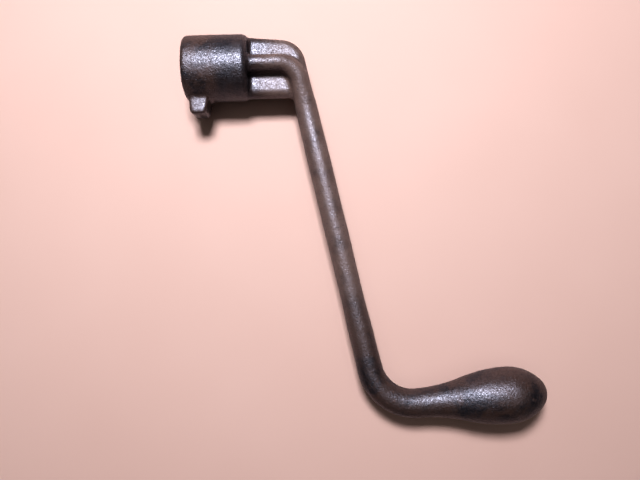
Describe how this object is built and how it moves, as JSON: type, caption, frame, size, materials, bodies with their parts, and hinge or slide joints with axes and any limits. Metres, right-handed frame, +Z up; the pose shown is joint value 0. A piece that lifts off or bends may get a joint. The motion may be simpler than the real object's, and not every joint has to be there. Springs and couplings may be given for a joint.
{
  "type": "lug wrench",
  "caption": "Cast crank-shaped socket wrench: hexagonal socket head with a spur at its mouth, ribbed neck, long leaning arm and bulb-shaped grip.",
  "frame": {"origin": "centre of the socket mouth, where the socket axis meets the flat end face of the head", "axes": "+X along the socket axis from the mouth into the tool, the crank arm runs towards -Y, and the crank plane is Z = 0 with +Z up when the tool lies on its side as shown"},
  "size_m": [0.226, 0.2513, 0.0412],
  "materials": {
    "casting": "aged dark brown-black cast skin, semi-gloss, finely pitted"
  },
  "bodies": {
    "root": {"socket_barrel": "casting", "shoulder_collar": "casting", "mouth_spur": "casting", "neck_web": "casting", "neck_rib_upper": "casting", "neck_rib_lower": "casting", "upper_elbow": "casting", "crank_arm": "casting", "lower_elbow": "casting", "handle_grip": "casting"}
  },
  "joints": []
}
